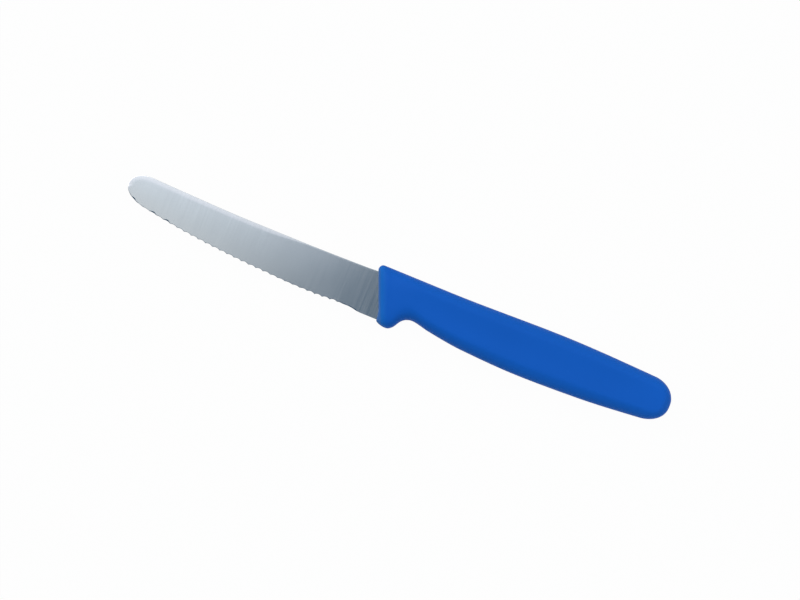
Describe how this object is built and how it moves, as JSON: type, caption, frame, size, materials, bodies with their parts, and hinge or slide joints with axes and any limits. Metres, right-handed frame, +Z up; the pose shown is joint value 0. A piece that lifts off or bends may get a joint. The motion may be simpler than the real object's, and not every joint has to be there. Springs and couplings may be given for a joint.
{
  "type": "breakfast knife",
  "caption": "Small table knife with a round tip, a wavy cutting edge and a moulded blue plastic handle with a finger guard.",
  "frame": {"origin": "centre of the footprint, at the level of the table that the knife lies on", "axes": "+X from the blade's tip to the handle's butt, +Y from the cutting edge to the spine, +Z up from the table, out of the blade's left face"},
  "size_m": [0.2185, 0.0226, 0.012],
  "materials": {
    "brushed_steel": "satin stainless steel, finely ground across the blade",
    "blue_plastic": "satin blue polypropylene, smooth as moulded"
  },
  "bodies": {
    "root": {"blade": "brushed_steel", "handle": "blue_plastic"}
  },
  "joints": []
}
